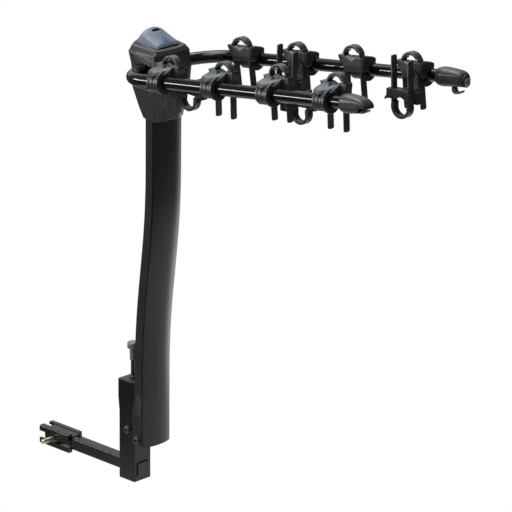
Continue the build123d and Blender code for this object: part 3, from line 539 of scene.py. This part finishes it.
# steel edge set in the mouth under the left cap's bill
mm = arm_matrix(-1, ST1 + 3 * PITCH + CAP_S)
pts = [(57.0, -14.0), (66.5, -13.4), (68.6, -12.2), (68.9, -13.0), (66.8, -14.9), (57.0, -15.4)]
vs, fs = [], []
for yy in (-11.2, 11.2):
    vs += [tuple((mm @ np.array([px, yy, pz, 1.0]))[:3]) for px, pz in pts]
n = len(pts)
fs.append(tuple(range(n - 1, -1, -1)))
fs.append(tuple(range(n, 2 * n)))
for i in range(n):
    j = (i + 1) % n
    fs.append((i, j, n + j, n + i))
me = bpy.data.meshes.new("opener_edge")
me.from_pydata(vs, [], fs)
ob = bpy.data.objects.new("opener_edge", me)
bpy.context.scene.collection.objects.link(ob)
me.materials.append(MATS["zinc"])
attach(ob, body_of["end_cap_left"])

for node in ("lock_knob",):
    ob = moulded(node, 0.6 * VO, 2)
    take(ob, node, MATS["knob_plastic"])
for node in ("cable_hook", "tongue_end_plug"):
    ob = moulded(node, 0.7 * VO, 2)
    take(ob, node)

# the lock spring between the rod's flange and the guide bush, as a piece of its own with a mesh of its own
me = frame["nodes"]["lock_spring"].data.copy()
me.name = "lock_spring_visual"
ob = bpy.data.objects.new(me.name, me)
bpy.context.scene.collection.objects.link(ob)
take(ob, "lock_spring")
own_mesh(ob)

# ---- floor and light ---------------------------------------------------------
fm = bpy.data.materials.new("floor_pale")
fm.use_nodes = True
nt = fm.node_tree
nt.nodes.remove(nt.nodes["Principled BSDF"])
em = nt.nodes.new("ShaderNodeEmission")
em.inputs["Color"].default_value = (1, 1, 1, 1)
em.inputs["Strength"].default_value = 1.0
# a pool of light on the floor round the object, which is what its sides reflect
tc = nt.nodes.new("ShaderNodeTexCoord")
vd = nt.nodes.new("ShaderNodeVectorMath")
vd.operation = "DISTANCE"
vd.inputs[1].default_value = (0.95, 0.65, -0.42)
nt.links.new(tc.outputs["Object"], vd.inputs[0])
mr = nt.nodes.new("ShaderNodeMapRange")
mr.interpolation_type = "SMOOTHSTEP"
mr.inputs["From Min"].default_value = 1.5
mr.inputs["From Max"].default_value = 2.45
mr.inputs["To Min"].default_value = 0.85
mr.inputs["To Max"].default_value = 0.1
nt.links.new(vd.outputs["Value"], mr.inputs["Value"])
pool = nt.nodes.new("ShaderNodeEmission")
nt.links.new(mr.outputs["Result"], pool.inputs["Strength"])
lp = nt.nodes.new("ShaderNodeLightPath")
mxs = nt.nodes.new("ShaderNodeMixShader")
nt.links.new(lp.outputs["Is Camera Ray"], mxs.inputs["Fac"])
nt.links.new(pool.outputs["Emission"], mxs.inputs[1])
nt.links.new(em.outputs["Emission"], mxs.inputs[2])
nt.links.new(mxs.outputs["Shader"], nt.nodes["Material Output"].inputs["Surface"])
fme = bpy.data.meshes.new("floor")
zf = -0.42
fme.from_pydata([(-30, -30, zf), (30, -30, zf), (30, 30, zf), (-30, 30, zf)], [], [(0, 1, 2, 3)])
floor = bpy.data.objects.new("floor", fme)
bpy.context.scene.collection.objects.link(floor)
fme.materials.append(fm)


def area(name, loc, target, size, energy, size_y=None, tint=(1, 1, 1)):
    ld = bpy.data.lights.new(name, "AREA")
    ld.energy = energy
    ld.color = tint
    ld.size = size
    if size_y:
        ld.shape = "RECTANGLE"
        ld.size_y = size_y
    o = bpy.data.objects.new(name, ld)
    o.location = loc
    d = Vector(target) - Vector(loc)
    o.rotation_euler = d.to_track_quat("-Z", "Y").to_euler()
    o.visible_camera = False
    bpy.context.scene.collection.objects.link(o)


area("strip", (-2.2, -3.24, 1.58), (0.9, -0.16, 1.15), 4.2, 170, 0.5)
area("back", (-4.0, 4.2, 3.6), (0.8, 0, 1.0), 9.0, 70, 5.0)
area("sky", (-1.2, 1.1, 4.95), (0.8, 0, 1.1), 3.4, 150, 2.4, (0.84, 0.92, 1.0))
area("top", (0.2, -1.3, 4.5), (0.7, 0, 0.9), 4.0, 130, 2.6, (0.92, 0.96, 1.0))
area("low", (-0.3, 3.2, -0.40), (-0.3, 3.2, 2.0), 2.6, 32, 3.0)
w = bpy.data.worlds.new("world")
bpy.context.scene.world = w
w.use_nodes = True
w.node_tree.nodes["Background"].inputs["Color"].default_value = (1, 1, 1, 1)
w.node_tree.nodes["Background"].inputs["Strength"].default_value = 0.2
bpy.context.scene.view_settings.view_transform = "Standard"
